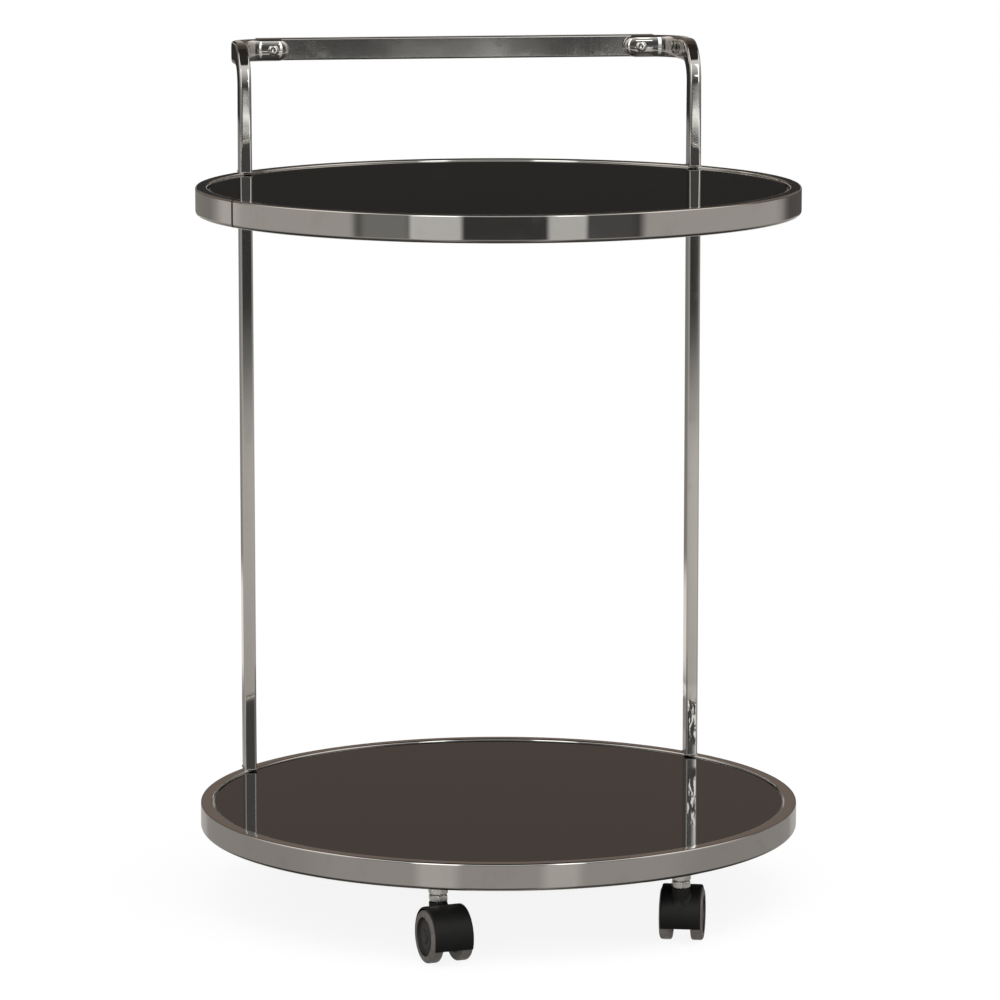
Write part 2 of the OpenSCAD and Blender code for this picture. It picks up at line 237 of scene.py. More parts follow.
def dark_glass(paint):
    """Black toughened glass with a trace of dust and fine rubbing marks."""
    x, y, z = paint.split(paint.place())
    dust = paint.noise(paint.place(), 900.0, 6.0, 0.7)
    cloth = paint.noise(paint.join(x * 26.0 + y * 8.0, y * 120.0, z), 1.0, 4.0, 0.6)
    warp = paint.noise(paint.place(), 5.0, 1.0)
    speck = dust.step(0.66, 0.80)
    return {
        "Base Color": paint.mix(speck * 0.5, (0.0045, 0.0042, 0.0040), (0.030, 0.029, 0.027)),
        "Roughness": 0.018 + cloth.step(0.5, 0.8) * 0.03 + speck * 0.05,
        "IOR": 1.52,
        "Normal": paint.bump(warp, 0.00012, 1.0),
    }


def glass_edge(paint):
    """The polished bevel round the glass: pale, with a ground sparkle."""
    ground = paint.noise(paint.place(), 1500.0, 3.0)
    angle, radius, z = paint.around(paint.place())
    wash = paint.noise(paint.join(angle * 14.0, radius, z), 1.0, 2.0)
    return {
        "Base Color": paint.mix(wash, (0.16, 0.165, 0.16), (0.30, 0.305, 0.295)),
        "Metallic": 0.5,
        "Roughness": 0.10 + ground * 0.10,
        "Normal": paint.bump(ground, 0.00003, 0.5),
    }


def hood_plastic(paint):
    """Moulded black nylon with a fine spark texture and scuffed patches."""
    spark = paint.noise(paint.place(), 3800.0, 3.0, 0.7)
    scuff = paint.noise(paint.place(), 150.0, 6.0, 0.7).step(0.58, 0.78)
    flow = paint.noise(paint.place(), 60.0, 2.0)
    return {
        "Base Color": paint.mix(scuff * 0.6, (0.0035, 0.0034, 0.0032), (0.011, 0.0105, 0.010)),
        "Roughness": 0.36 + spark * 0.16 + scuff * 0.12,
        "Specular IOR Level": 0.3,
        "Normal": paint.bump(spark, 0.00003, 0.5, paint.bump(flow, 0.0003, 0.6)),
    }


def wheel_rim(paint):
    """Dark grey polyurethane tread, dulled where it runs."""
    grit = paint.noise(paint.place(), 1300.0, 5.0, 0.7)
    worn = paint.noise(paint.place(), 170.0, 4.0, 0.6)
    return {
        "Base Color": paint.mix(worn.step(0.35, 0.75), (0.082, 0.074, 0.067), (0.125, 0.113, 0.102)),
        "Roughness": 0.42 + grit * 0.22,
        "Normal": paint.bump(grit, 0.00005, 0.6),
    }


def wheel_dish(paint):
    """Darker moulded wheel centre."""
    grain = paint.noise(paint.place(), 1900.0, 4.0, 0.7)
    flow = paint.noise(paint.place(), 120.0, 3.0)
    return {
        "Base Color": paint.mix(flow.step(0.4, 0.7), (0.013, 0.0122, 0.0115), (0.022, 0.0205, 0.0195)),
        "Roughness": 0.40 + grain * 0.15,
        "Normal": paint.bump(grain, 0.00003, 0.5),
    }


def silicone(paint):
    """Clear soft bumper, cloudy with dust at its rim."""
    haze = paint.noise(paint.place(), 700.0, 4.0, 0.6)
    return {
        "Base Color": paint.mix(haze, (0.70, 0.72, 0.72), (0.84, 0.85, 0.84)),
        "Roughness": 0.22 + haze * 0.2,
        "Normal": paint.bump(haze, 0.00005, 0.5),
        "Alpha": 0.82,
    }


def weld_metal(paint):
    """Plated weld bead with a rippled skin."""
    ripple = paint.noise(paint.place(), 620.0, 4.0, 0.65)
    return {
        "Base Color": paint.mix(ripple.step(0.3, 0.7), (0.60, 0.585, 0.56), (0.42, 0.40, 0.38)),
        "Metallic": 1.0,
        "Roughness": 0.16 + ripple * 0.18,
        "Normal": paint.bump(ripple, 0.0002, 0.8),
    }


def screw_steel(paint):
    """Polished screw head with fine turning marks."""
    marks = paint.noise(paint.place(), 1700.0, 4.0, 0.6)
    return {
        "Base Color": paint.mix(marks, (0.62, 0.605, 0.58), (0.80, 0.785, 0.76)),
        "Metallic": 1.0,
        "Roughness": 0.07 + marks * 0.08,
        "Normal": paint.bump(marks, 0.00001, 0.6),
    }


def seam_filler(paint):
    """The unplated bottom of a ring's butt seam."""
    soot = paint.noise(paint.place(), 800.0, 4.0, 0.6)
    return {
        "Base Color": paint.mix(soot, (0.012, 0.010, 0.009), (0.045, 0.038, 0.034)),
        "Metallic": 0.4,
        "Roughness": 0.55 + soot * 0.3,
        "Normal": paint.bump(soot, 0.0001, 0.6),
    }


FINISH = {
    "ring_chrome": finish_of("ring_chrome", ring_chrome),
    "post_chrome": finish_of("post_chrome", post_chrome),
    "handle_chrome": finish_of("handle_chrome", handle_chrome),
    "zinc": finish_of("zinc_plate", zinc),
    "glass": finish_of("dark_glass_face", dark_glass),
    "edge": finish_of("glass_polished_edge", glass_edge),
    "hood": finish_of("hood_plastic", hood_plastic),
    "rim": finish_of("wheel_rim", wheel_rim),
    "dish": finish_of("wheel_dish", wheel_dish),
    "silicone": finish_of("silicone", silicone),
    "weld": finish_of("weld_metal", weld_metal),
    "screw": finish_of("screw_steel", screw_steel),
    "seam": finish_of("seam_filler", seam_filler),
}

# ---------------------------------------------------------------- sizes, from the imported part


def ring_facts(node):
    low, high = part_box(node)
    return high.x, low.z, high.z


RING_OUT, LOWER_Z, LOWER_TOP = ring_facts("lower_ring")
_, UPPER_Z, UPPER_TOP = ring_facts("upper_ring")


def reach(node):
    """The farthest that a CAD node reaches from the trolley's axis."""
    return max(math.hypot(v.co.x, v.co.y) for v in frame["nodes"][node].data.vertices)


RING_W = RING_OUT - reach("lower_glass_tabs")
SKIN = 0.03 * MM                    # how far the rings stay inside the design's outer face
CORNER = 1.5 * MM
GLASS_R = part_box("upper_glass")[1].x
GLASS_LOW, GLASS_HIGH = (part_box("upper_glass")[i].z - UPPER_TOP for i in (0, 1))
POST_LOW, POST_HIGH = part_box("right_post")
POST = (POST_LOW + POST_HIGH) / 2
POST_W, POST_D = POST_HIGH.x - POST_LOW.x, POST_HIGH.y - POST_LOW.y
BAR_LOW, BAR_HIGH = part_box("handle_bar")
BAR = (BAR_LOW + BAR_HIGH) / 2
SCREW_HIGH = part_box("handle_screws")[1]
CASTERS = ("front_left", "front_right", "rear_left", "rear_right")


def middle(node):
    low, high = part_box(node)
    return (low + high) / 2


# ---------------------------------------------------------------- mesh helpers


def make(name, points, faces, finish, sharp=35.0, where=None, flats=True):
    """A smooth-shaded mesh piece; edges steeper than sharp degrees stay crisp and flats shade flat."""
    import bmesh
    mesh = bpy.data.meshes.new(name)
    mesh.from_pydata([tuple(p) for p in points], [], [tuple(f) for f in faces])
    work = bmesh.new()
    work.from_mesh(mesh)
    bmesh.ops.remove_doubles(work, verts=work.verts, dist=2e-6)
    bmesh.ops.dissolve_degenerate(work, edges=work.edges, dist=1e-7)
    bmesh.ops.recalc_face_normals(work, faces=work.faces)
    for edge in work.edges:
        edge.smooth = not edge.is_manifold or edge.calc_face_angle(0.0) < math.radians(sharp)
    for face in work.faces:
        face.smooth = True
    work.to_mesh(mesh)
    work.free()
    piece = bpy.data.objects.new(name, mesh)
    bpy.context.scene.collection.objects.link(piece)
    if where is not None:
        mesh.transform(where)
    mesh.materials.append(FINISH[finish])
    level = piece.modifiers.new("true_flats", "WEIGHTED_NORMAL")
    level.keep_sharp = True
    level.weight = 100 if flats else 50
    return piece


def loft(loops, closed_ends=True, loop_back=False):
    """Points and faces that join loops of equal length; a loop of near-equal points is a pole."""
    count = len(loops[0])
    points = [p for loop in loops for p in loop]
    faces = []
    pairs = len(loops) if loop_back else len(loops) - 1
    for i in range(pairs):
        a, b = i * count, (i + 1) % len(loops) * count
        for j in range(count):
            k = (j + 1) % count
            faces.append((a + j, a + k, b + k, b + j))
    if closed_ends and not loop_back:
        faces.append(tuple(range(count)))
        last = (len(loops) - 1) * count
        faces.append(tuple(last + j for j in reversed(range(count))))
    return points, faces


def rounded_loop(w, h, r, steps=6, last=None):
    """Corner points of a rounded rectangle, centred, anticlockwise; last is the right lower radius."""
    k = last or r
    corners = ((w / 2 - r, h / 2 - r, 0, r), (r - w / 2, h / 2 - r, 90, r),
               (r - w / 2, r - h / 2, 180, r), (w / 2 - k, k - h / 2, 270, k))
    points = []
    for cx, cy, start, r in corners:
        for i in range(steps + 1):
            a = math.radians(start + 90 * i / steps)
            points.append((cx + r * math.cos(a), cy + r * math.sin(a)))
    return points


def turned(profile, steps=96, reach=None):
    """Loops of a profile of (radius, height) turned about Z; reach(angle, radius, height) bends the radius."""
    loops = []
    for radius, height in profile:
        loop = []
        for i in range(steps):
            a = math.tau * i / steps
            r = reach(a, radius, height) if reach else radius
            loop.append((r * math.cos(a), r * math.sin(a), height))
        loops.append(loop)
    return loops


def axis_frame(origin, along, side):
    """A matrix whose Z runs along a direction and X towards side."""
    z = Vector(along).normalized()
    x = (Vector(side) - z * Vector(side).dot(z)).normalized()
    y = z.cross(x)
    return Matrix.Translation(origin) @ Matrix((x, y, z)).transposed().to_4x4()


def dress(node, finish):
    """Gives a carried-over CAD node its finish."""
    obj = frame["nodes"][node]
    for slot in obj.material_slots:
        slot.material = FINISH[finish]
    if not obj.material_slots:
        obj.data.materials.append(FINISH[finish])


def fit(piece, body, slot, *nodes):
    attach(piece, body)
    if nodes:
        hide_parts(*nodes)
    return piece


# ---------------------------------------------------------------- camera, room and floor

LENS_MM = 180.8
CAMERA_BACK = 3.886         # from the trolley's axis to the lens
CAMERA_HEIGHT = 0.929
CAMERA_PITCH = math.radians(9.0)


def add_camera():
    eye = Vector((-CAMERA_BACK * math.sin(TURN), -CAMERA_BACK * math.cos(TURN), CAMERA_HEIGHT))
    data = bpy.data.cameras.new("camera")
    data.lens, data.sensor_width, data.clip_start, data.clip_end = LENS_MM, 36.0, 0.05, 60.0
    camera = bpy.data.objects.new("camera", data)
    camera.rotation_euler = (math.pi / 2 - CAMERA_PITCH, 0.0, -TURN + AIM_YAW)
    camera.location = eye
    bpy.context.scene.collection.objects.link(camera)
    bpy.context.scene.camera = camera


AIM_YAW = math.radians(-0.017)   # the axis stands a touch left of the frame's middle


def studio_map(paint, direction):
    """The room that the chrome shows: grey floor, dark camera side with two bright panels, walls and ceiling."""
    x, y, z = paint.split(direction)
    right = x * math.cos(TURN) - y * math.sin(TURN)
    front = x * -math.sin(TURN) - y * math.cos(TURN)
    a = right._math("ARCTAN2", right, front) * 57.29578
    e = z.arcsine() * 57.29578
    wide = abs(a)

    # camera side, just below the horizon: what the upper ring and the post tops show
    low_band = (0.046 + a.band(-33, -13.5, 1.2) * 0.55 + a.band(18.5, 33, 1.2) * 0.53
                + a.band(-53, -33, 3.0) * 0.16 + a.band(33, 53, 3.0) * 0.035
                + wide.step(53, 58) * 0.37
                + a.band(-130, -115, 4) * 0.10 - wide.step(128, 142) * 0.20
                - a.band(140, 180, 6) * 0.13)
    # the grey studio floor further down
    floor = (0.50 - e._math("MULTIPLY", e + 8.5, -1.0).step(0.5, 4.5) * 0.15
             + (a.band(-31, -16, 3.0) + a.band(17, 31, 3.0)) * 0.15
             - wide.step(60, 90) * 0.05 - (e * -1).step(17, 34) * 0.26)
    behind = wide.step(150, 158)
    floor_back = 0.23 + (e * -1).band(9.8, 11.0, 0.25) * 0.55 + (e * -1).step(11.0, 12.5) * 0.20
    below = floor * (1 - behind) + floor_back * behind
    dip = (e * -1).step(6.6, 8.7)
    lower_half = low_band * (1 - dip) + below * dip

    # above the horizon: a grey wall that lightens upwards to a black overhead screen
    side_wall = wide.step(52, 60) * (1 - wide.step(100, 118))
    grip = 0.085 + a.band(16.95, 18.05, 0.04) * 0.12 + a.band(18.05, 18.25, 0.03) * 0.36 \
        + a.band(18.25, 18.75, 0.05) * 0.075 + a.step(19.35, 19.6) * 0.11 \
        + (1 - a.step(15.6, 15.75)) * 0.09
    at_grip = e.band(-4.9, -3.4, 0.1)
    front_wall = 0.07 + e.step(-2.0, 50.0) * 0.75
    softbox = e.band(-3.0, 45.0, 2.0) * (a.band(-33, -15.0, 1.0) + a.band(22.0, 33.0, 0.6)) * 1.7 \
        + e.band(11.0, 15.0, 1.0) * a.band(17.6, 22.0, 0.6) * 2.8
    above_front = front_wall * (1 - at_grip) + grip * at_grip * (1 - wide.step(40, 52)) \
        + side_wall * 0.30 + softbox
    back = 0.03 + e.band(1.0, 4.6, 0.3) * 0.35 + e.step(6.8, 10.2) * 0.145 \
        - e.step(26.0, 44.0) * 0.10
    above = above_front * (1 - wide.step(112, 124)) + back * wide.step(112, 124)
    line = e.band(-4.72, -4.48, 0.05) * wide.band(13.5, 33.0, 1.2)
    up = e.step(-4.72, -4.60)
    screen = e.step(55, 60)
    level = (lower_half * (1 - up) + above * up + line * 1.6) * (1 - screen) + screen * 0.03
    neutral = e.step(-10.0, -5.5) * (1 - wide.step(48, 58))
    warm = paint.mix(neutral, (1.04, 0.985, 0.935), (1.0, 0.995, 0.975))
    brown = e.step(5.0, 8.0) * wide.step(112, 124)
    warm = paint.mix(brown, warm, (1.03, 0.83, 0.71))
    return paint.node("ShaderNodeVectorMath", {"operation": "SCALE"},
                      {0: warm, "Scale": level})


def add_world():
    world = bpy.data.worlds.new("studio")
    bpy.context.scene.world = world
    world.use_nodes = True
    tree = world.node_tree
    tree.nodes.clear()
    paint = Paint(tree)
    direction = paint.node("ShaderNodeTexCoord", out="Generated")
    glossy = paint.node("ShaderNodeLightPath", out="Is Glossy Ray")
    colour = paint.mix(glossy, (1.0, 1.0, 1.0), studio_map(paint, direction))
    shader = tree.nodes.new("ShaderNodeBackground")
    paint.fill(shader.inputs["Color"], colour)
    out = tree.nodes.new("ShaderNodeOutputWorld")
    tree.links.new(shader.outputs[0], out.inputs[0])


def add_floor():
    """A pale floor that fades into the room, seen only directly."""
    loops = [[(r * math.cos(math.tau * i / 96), r * math.sin(math.tau * i / 96), 0.0)
              for i in range(96)] for r in (0.02, 0.3, 0.6, 0.9, 1.2, 1.6)]
    mesh = bpy.data.meshes.new("floor")
    points, faces = loft(loops, closed_ends=False)
    mesh.from_pydata(points, [], faces + [tuple(range(96))])
    floor = bpy.data.objects.new("floor", mesh)
    bpy.context.scene.collection.objects.link(floor)

    def pale(paint):
        angle, radius, z = paint.around(paint.place())
        mottle = paint.noise(paint.place(), 9.0, 4.0)
        return {
            "Base Color": paint.mix(mottle, (0.93, 0.93, 0.93), (0.97, 0.97, 0.97)),
            "Roughness": 0.9,
            "Alpha": (1 - radius.step(0.40, 1.15)) * 0.11,
        }

    material = finish_of("pale_floor", pale)
    material.node_tree.nodes["Principled BSDF"].inputs["Specular IOR Level"].default_value = 0.0
    mesh.materials.append(material)
    floor.visible_glossy = False


def add_light(name, place, target, size, power, colour=(1, 1, 1)):
    data = bpy.data.lights.new(name, "AREA")
    data.shape, data.size, data.energy, data.color = "DISK", size, power, colour
    light = bpy.data.objects.new(name, data)
    light.location = place
    light.rotation_euler = (Vector(target) - Vector(place)).to_track_quat("-Z", "Y").to_euler()
    light.visible_glossy = False
    bpy.context.scene.collection.objects.link(light)


def add_room():
    add_camera()
    add_world()
    add_floor()
    add_light("overhead_softbox", (0.3, -0.6, 3.2), (0, 0, 0), 2.6, 40)
    add_light("front_fill", (-1.8, -3.4, 1.6), (0, 0, 0.3), 1.8, 22)
    add_light("right_fill", (3.0, -1.6, 1.3), (0, 0, 0.3), 1.6, 14)
    view = bpy.context.scene.view_settings
    view.view_transform, view.look = "Standard", "None"
    view.exposure, view.gamma = 0.0, 1.0

# ---------------------------------------------------------------- tiers


def ring_piece(name, bottom, top, seam_at):
    """One rolled tube ring: rounded corners, a shallow butt seam dressed flat on the outer face."""
    mid_r, height = RING_OUT - SKIN - RING_W / 2, top - bottom
    section = rounded_loop(RING_W, height, CORNER, 6, 2.8 * MM)
    steps = 480
    seam_w = math.radians(0.26)

    def groove(angle):
        off = abs((angle - seam_at + math.pi) % math.tau - math.pi) / seam_w
        return max(0.0, min(1.0, (1.25 - off) / 0.3))

    angles = sorted([math.tau * i / steps for i in range(steps)]
                    + [seam_at % math.tau + seam_w * k for k in (-1.25, -0.95, -0.4, 0.4, 0.95, 1.25)])
    loops = []
    for a in angles:
        cut = 0.7 * MM * groove(a)
        loops.append([((mid_r + x * (1 - cut / RING_W * 2)) * math.cos(a),
                       (mid_r + x * (1 - cut / RING_W * 2)) * math.sin(a),
                       (bottom + top) / 2 + y * (1 - cut / height * 2)) for x, y in section])
    points, faces = loft(loops, loop_back=True)
    ring = make(name, points, faces, "ring_chrome", 50)
    ring.data.materials.append(FINISH["seam"])
    for polygon in ring.data.polygons:
        angle = math.atan2(polygon.center.y, polygon.center.x)
        if groove(angle) > 0.3:
            polygon.material_index = 1
    return ring


def glass_piece(name, top):
    """A flat disc with a polished bevel, in two finishes."""
    thick, bevel = GLASS_HIGH - GLASS_LOW, 0.8 * MM
    z0, z1 = top + GLASS_LOW, top + GLASS_HIGH
    profile = [(0.0, z0), (GLASS_R * 0.5, z0), (GLASS_R - bevel / 2, z0), (GLASS_R, z0 + bevel / 2),
               (GLASS_R, z1 - bevel), (GLASS_R - bevel, z1), (GLASS_R * 0.5, z1), (0.0, z1)]
    points, faces = loft(turned(profile, 360), closed_ends=False)
    piece = make(name, points, faces, "glass", 20)
    piece.data.materials.append(FINISH["edge"])
    for polygon in piece.data.polygons:
        c = polygon.center
        if math.hypot(c.x, c.y) > GLASS_R - 0.6 * bevel:
            polygon.material_index = 1
    return piece


def bead_piece(name, paths, radius, seed, finish="weld"):
    """Weld beads: rippled fillets laid along each path."""
    points, faces = [], []
    for number, path in enumerate(paths):
        loops = []
        for i, spot in enumerate(path):
            before, after = path[max(i - 1, 0)], path[min(i + 1, len(path) - 1)]
            along = (Vector(after) - Vector(before)).normalized()
            side = along.cross(Vector((0, 0, 1)))
            side = side.normalized() if side.length > 1e-6 else Vector((1, 0, 0))
            up = side.cross(along)
            end = min(i, len(path) - 1 - i)
            size = radius * (0.35 if end == 0 else 1.0)
            size *= 1 + 0.10 * math.sin(i * 1.9 + number + seed) + 0.05 * math.sin(i * 4.3 + seed)
            loops.append([Vector(spot) + side * math.cos(t) * size + up * math.sin(t) * size
                          for t in (math.tau * k / 10 for k in range(10))])
        made, sides = loft(loops)
        faces += [tuple(k + len(points) for k in f) for f in sides]
        points += made
    return make(name, points, faces, finish, 80)


def tier_beads(name, node, count, first, half_w, depth_low, depth_high, top):
    """Beads where each lug or tab meets the ring's inner wall, above and below it."""
    inner = RING_OUT - RING_W - 0.35 * MM
    paths = []
    for i in range(count):
        mid = first[i]
        half = half_w / inner
        for z in (top + depth_low, top + depth_high):
            paths.append([(inner * math.cos(mid + half * t), inner * math.sin(mid + half * t), z)
                          for t in (k / 9 - 1 for k in range(19))])
    return bead_piece(name, paths, 0.9 * MM, 1.7)


def add_tiers():
    seam = math.radians(-90) - TURN - math.radians(58.5)
    fit(ring_piece("upper_ring_tube", UPPER_Z, UPPER_TOP, seam), "frame", "polished_chrome",
        "upper_ring")
    fit(ring_piece("lower_ring_tube", LOWER_Z, LOWER_TOP, math.atan2(POST.y, POST.x)), "frame",
        "polished_chrome", "lower_ring")
    fit(glass_piece("upper_glass_plate", UPPER_TOP), "frame", "dark_glass", "upper_glass")
    fit(glass_piece("lower_glass_plate", LOWER_TOP), "frame", "dark_glass", "lower_glass")
    tab_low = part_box("upper_glass_tabs")
    tabs = [math.radians(60 * i + 30) for i in range(6)]
    for name, node, top in (("upper_tab_welds", "upper_glass_tabs", UPPER_TOP),
                            ("lower_tab_welds", "lower_glass_tabs", LOWER_TOP)):
        low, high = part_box(node)
        fit(tier_beads(name, node, 6, tabs, 9 * MM, low.z - top, high.z - top, top),
            "frame", "polished_chrome")
        dress(node, "post_chrome")
    for node in ("upper_glass_pads", "lower_glass_pads"):
        dress(node, "silicone")


# ---------------------------------------------------------------- posts and handle


def tube_along(path, finish, name, steps=7):
    """A closed square-cornered tube; a station is (place, side, up, width along side, height along up)."""
    loops = []
    for at, side, up, w, h in path:
        section = rounded_loop(w, h, min(CORNER, w / 2.05, h / 2.05), steps)
        loops.append([Vector(at) + Vector(side) * x + Vector(up) * y for x, y in section])
    points, faces = loft(loops)
    return make(name, points, faces, finish, 50)


def pinched_tube(path, finish, name, count=56):
    """A closed tube whose section eases from square-cornered to oval as its last value falls to 2."""
    loops = []
    for at, side, up, w, h, square in path:
        loop = []
        for i in range(count):
            a = math.tau * (i + 0.5) / count
            x = math.copysign(abs(math.cos(a)) ** (2 / square), math.cos(a)) * w / 2
            y = math.copysign(abs(math.sin(a)) ** (2 / square), math.sin(a)) * h / 2
            loop.append(Vector(at) + Vector(side) * x + Vector(up) * y)
        loops.append(loop)
    points, faces = loft(loops)
    return make(name, points, faces, finish, 60, flats=False)


def post_piece(name, side, twist=0.0):
    """A straight tube; twist is how far it was welded out of square."""
    across, deep = (math.cos(twist), math.sin(twist), 0), (-math.sin(twist), math.cos(twist), 0)
    shrink = 1 - abs(math.sin(twist))
    stations = [((side * POST.x, POST.y, POST_LOW.z + (POST_HIGH.z - POST_LOW.z) * i / 60),
                 across, deep, POST_W * shrink, POST_D * shrink) for i in range(61)]
    return tube_along(stations, "post_chrome", name)


def collar_bead(name, spots, finish="weld"):
    """A low rippled weld around the foot or head of each tube."""
    paths = []
    for at, grow in spots:
        loop = rounded_loop(POST_W + grow, POST_D + grow, CORNER + grow / 2, 8)
        loop.append(loop[0])
        paths.append([(at[0] + x, at[1] + y, at[2]) for x, y in loop])
    return bead_piece(name, paths, 0.55 * MM, 0.6, finish)


BEND_R, TURN_R = 24 * MM, 22 * MM   # centreline radii of the arm's backward bend and inward turn
# how square the arm's section is: at its foot, past its bend and at its tongue
FOOT_SQUARE, BENT_SQUARE, TONGUE_SQUARE = 10.0, 5.5, 3.2


def arm_piece(name, side, twist=0.0):
    """One bent arm: riser, backward bend, run, inward turn and a round-ended tongue."""
    low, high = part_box("right_handle_arm")
    arm_z, tongue_y = high.z - POST_D / 2, high.y - POST_W / 2
    tip_x = low.x
    turn_x, bend_y = POST.x - TURN_R, POST.y + BEND_R
    path = []

    def add(x, y, z, s, u, w=POST_W, h=POST_D, square=TONGUE_SQUARE, hold=0.0):
        lean = Matrix.Rotation(twist * hold, 3, "Z")
        path.append(((side * x, y, z), lean @ Vector((side * s[0], s[1], s[2])),
                     lean @ Vector((side * u[0], u[1], u[2])), w, h, square))

    for i in range(25):
        add(POST.x, POST.y, low.z + (arm_z - BEND_R - low.z) * i / 24, (1, 0, 0), (0, 1, 0),
            square=FOOT_SQUARE + (BENT_SQUARE - FOOT_SQUARE) * i / 24, hold=1.0)
    for i in range(1, 29):
        t = math.pi / 2 * i / 28
        add(POST.x, bend_y - BEND_R * math.cos(t), arm_z - BEND_R + BEND_R * math.sin(t),
            (1, 0, 0), (0, math.cos(t), -math.sin(t)), square=BENT_SQUARE, hold=1 - i / 28)
    run_end = tongue_y - TURN_R
    for i in range(1, 7):
        add(POST.x, bend_y + (run_end - bend_y) * i / 6, arm_z, (1, 0, 0), (0, 0, -1),
            square=BENT_SQUARE)
    for i in range(1, 29):
        t = math.pi / 2 * i / 28
        add(turn_x + TURN_R * math.cos(t), run_end + TURN_R * math.sin(t), arm_z,
            (math.cos(t), math.sin(t), 0), (0, 0, -1),
            square=BENT_SQUARE + (TONGUE_SQUARE - BENT_SQUARE) * i / 28)
    round_x = tip_x + POST_D / 2
    for i in range(1, 5):
        add(turn_x + (round_x - turn_x) * i / 4, tongue_y, arm_z, (0, 1, 0), (0, 0, -1))
    for i in range(1, 17):
        t = math.pi / 2 * i / 16
        thin = POST_W * (0.45 + 0.55 * math.cos(t) ** 0.6)
        add(round_x - POST_D / 2 * math.sin(t), tongue_y + (POST_W - thin) / 2, arm_z,
            (0, 1, 0), (0, 0, -1), thin, max(POST_D * math.cos(t), 0.8 * MM))
    return pinched_tube(path, "handle_chrome", name)


def bar_piece(name):
    """The cross bar, with softly rounded capped ends."""
    half = BAR_HIGH.x
    w, h = BAR_HIGH.y - BAR_LOW.y, BAR_HIGH.z - BAR_LOW.z
    ease = 1.3 * MM
    stations = [(half - ease * (1 - math.cos(t)), ease * (1 - math.sin(t)))
                for t in (math.pi / 2 * k / 5 for k in range(6))]
    spots = [(-x, cut) for x, cut in stations]
    spots += [(-half + ease + (2 * half - 2 * ease) * i / 48, 0.0) for i in range(1, 48)]
    spots += [(x, cut) for x, cut in reversed(stations)]
    path = [((x, BAR.y, BAR.z), (0, 1, 0), (0, 0, 1), w - 2 * cut, h - 2 * cut)
            for x, cut in spots]
    return tube_along(path, "handle_chrome", name)


def screw_head(name, spots, radius, height, socket_r, out, finish="screw"):
    """Domed socket-head screws: out is the direction that the heads face."""
    points, faces = [], []
    steps = 72

    rows = [(radius, 0.0), (radius, height * 0.30)]
    for k in range(1, 9):
        t = math.pi / 2 * k / 9
        rows.append((socket_r * 1.22 + (radius - socket_r * 1.22) * math.cos(t),
                     height * (0.30 + 0.70 * math.sin(t))))
    loops = turned(rows, steps)

    def six(angle, size):
        off = (angle + math.pi / 6) % (math.pi / 3) - math.pi / 6
        return size * math.cos(math.pi / 6) / math.cos(off)

    for size, z in ((socket_r * 1.05, height), (socket_r, height * 0.93), (socket_r, height * 0.30),
                    (0.0002, height * 0.22)):
        loops.append([(six(math.tau * i / steps, size) * math.cos(math.tau * i / steps),
                       six(math.tau * i / steps, size) * math.sin(math.tau * i / steps), z)
                      for i in range(steps)])
    made, sides = loft(loops)
    for spot in spots:
        at = axis_frame(spot, out, (1, 0, 0))
        faces += [tuple(k + len(points) for k in f) for f in sides]
        points += [at @ Vector(p) for p in made]
    return make(name, points, faces, finish, 32)


def add_posts():
    fit(post_piece("left_post_tube", -1), "frame", "polished_chrome", "left_post")
    fit(post_piece("right_post_tube", 1, math.radians(-1.6)), "frame", "polished_chrome", "right_post")
    joints = ((LOWER_TOP, 1), (UPPER_Z, -1), (UPPER_TOP, 1))
    spots = [((s * POST.x, POST.y, z + up * 0.15 * MM), 0.2 * MM)
             for z, up in joints for s in (-1, 1)]
    fit(collar_bead("post_welds", spots), "frame", "polished_chrome")
    for node in ("post_end_plugs", "arm_end_plugs", "upper_joint_studs", "handle_bar_inserts"):
        dress(node, "zinc")
    fit(arm_piece("left_arm_tube", -1), "frame", "polished_chrome", "left_handle_arm")
    fit(arm_piece("right_arm_tube", 1, math.radians(-1.6)), "frame", "polished_chrome", "right_handle_arm")
    fit(bar_piece("cross_bar_tube"), "frame", "polished_chrome", "handle_bar")
    low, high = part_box("handle_screws")
    screw_x, screw_z = high.x - 4.5 * MM, (low.z + high.z) / 2
    face_y = BAR_LOW.y - POST_W
    fit(screw_head("handle_screw_heads", [(s * screw_x, face_y, screw_z) for s in (-1, 1)],
                   4.5 * MM, 2.4 * MM, 1.7 * MM, (0, -1, 0)), "frame", "bright_screw", "handle_screws")
    fit(screw_head("foot_screw_heads", [(s * POST.x, POST.y, LOWER_Z) for s in (-1, 1)],
                   4.5 * MM, 2.6 * MM, 1.8 * MM, (0, 0, -1)), "frame", "zinc_steel", "post_foot_screws")


# ---------------------------------------------------------------- casters

WHEEL_R = middle("front_left_wheel_a").z
WHEEL_IN, WHEEL_OUT = 7.3 * MM, 16.5 * MM    # from the caster's middle to each wheel's faces
HOOD_HALF, WEB_HALF = 15.3 * MM, 6.8 * MM
HOOD_R, HOOD_INNER = 22.5 * MM, 21.0 * MM
HOOD_FLOOR, NECK_TOP = 12.5 * MM, 43.2 * MM
NUT_Z, COLLAR_Z = 49.0 * MM, 43.5 * MM
HEX_FLATS = 13.0 * MM
TRAIL = 12.5 * MM
DISH_R = 14.6 * MM


def joint_of(name):
    return next(j for j in frame["joints"] if j["name"] == name)


def caster_place(name):
    """The caster's frame: swivel axis on the floor, X along the axle, the axle at Y = -TRAIL."""
    pin = joint_of(name + "_swivel")["pos_m"]
    axle = Vector(joint_of(name + "_wheel_b_spin")["axis"]).normalized()
    return Matrix.Translation((pin[0], pin[1], 0)) @ Matrix(
        (axle, Vector((0, 0, 1)).cross(axle), (0, 0, 1))).transposed().to_4x4()


